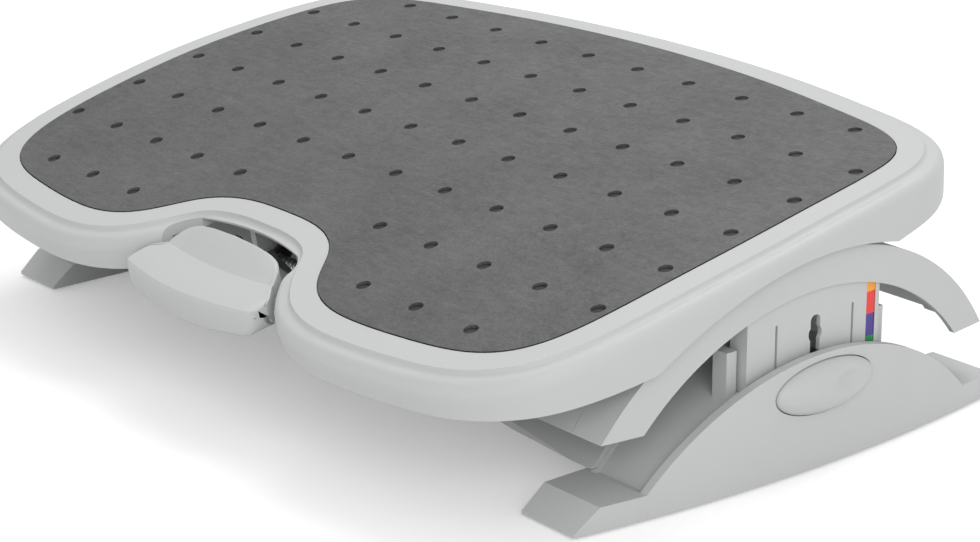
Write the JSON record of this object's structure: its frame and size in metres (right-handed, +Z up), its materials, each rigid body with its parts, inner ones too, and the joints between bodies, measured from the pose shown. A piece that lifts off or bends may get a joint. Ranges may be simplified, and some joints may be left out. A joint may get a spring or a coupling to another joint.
{
  "type": "tilting footrest",
  "caption": "Tilting under-desk footrest: a crowned platform with a dimpled rubber mat rocks on arched risers that slide in a low base, with a foot pedal and side buttons.",
  "frame": {"origin": "on the floor, under the middle of the whole object at rest", "axes": "+X to the right of the person using it, along the width; +Y away from that person; +Z up"},
  "size_m": [0.574, 0.3852, 0.1503],
  "materials": {
    "base_plastic": "fine matt moulded texture",
    "riser_plastic": "fine matt moulded texture",
    "deck_plastic": "fine matt moulded texture",
    "platform_plastic": "fine matt moulded texture",
    "pedal_plastic": "fine matt moulded texture",
    "button_plastic": "fine matt moulded texture",
    "mat_rubber": "dark grey rubber with a fine pebbled grain",
    "feet_rubber": "matt black rubber",
    "pad_rubber": "matt black rubber",
    "lever_plastic": "dark glass-filled plastic",
    "steel": "plain bright steel",
    "yellow_plastic": "coloured label plastic",
    "red_plastic": "coloured label plastic",
    "blue_plastic": "coloured label plastic",
    "green_plastic": "coloured label plastic"
  },
  "bodies": {
    "base": {"base_side_right": "base_plastic", "base_side_left": "base_plastic", "base_bridge": "base_plastic", "rubber_feet": "feet_rubber"},
    "riser": {"riser_side_right": "riser_plastic", "riser_side_left": "riser_plastic", "riser_deck": "deck_plastic", "brake_track": "lever_plastic", "scale_yellow": "yellow_plastic", "scale_red": "red_plastic", "scale_blue": "blue_plastic", "scale_green": "green_plastic"},
    "platform": {"platform_shell": "platform_plastic", "foot_mat": "mat_rubber", "glide_shoes": "lever_plastic", "glide_screws": "steel", "pedal_pin": "steel", "pedal_spring": "steel"},
    "pedal": {"foot_pedal": "pedal_plastic", "lock_lever": "lever_plastic", "brake_pad": "pad_rubber"},
    "latch_right": {"height_button_right": "button_plastic", "latch_pin_right": "steel", "latch_spring_right": "steel", "latch_clip_right": "steel"},
    "latch_left": {"height_button_left": "button_plastic", "latch_pin_left": "steel", "latch_spring_left": "steel", "latch_clip_left": "steel"}
  },
  "joints": [
    {"name": "riser_height", "type": "slide", "parent": "base", "child": "riser", "axis": [0, 0, 1], "range_m": [-0.026, 0]},
    {"name": "platform_tilt", "type": "hinge", "parent": "riser", "child": "platform", "pos_m": [0, 0.02352, -0.054], "axis": [1, 0, 0], "range_deg": [-25.9, 4.1]},
    {"name": "pedal_press", "type": "hinge", "parent": "platform", "child": "pedal", "pos_m": [0, -0.11445, 0.07015], "axis": [1, 0, 0], "range_deg": [0, 8], "stiffness_Nm_per_rad": 2.5, "springref_deg": -14.32},
    {"name": "latch_right_press", "type": "slide", "parent": "base", "child": "latch_right", "axis": [-1, 0, 0], "range_m": [0, 0.0028], "stiffness_N_per_m": 1500, "springref_m": -0.002},
    {"name": "latch_left_press", "type": "slide", "parent": "base", "child": "latch_left", "axis": [1, 0, 0], "range_m": [0, 0.0028], "stiffness_N_per_m": 1500, "springref_m": -0.002}
  ]
}
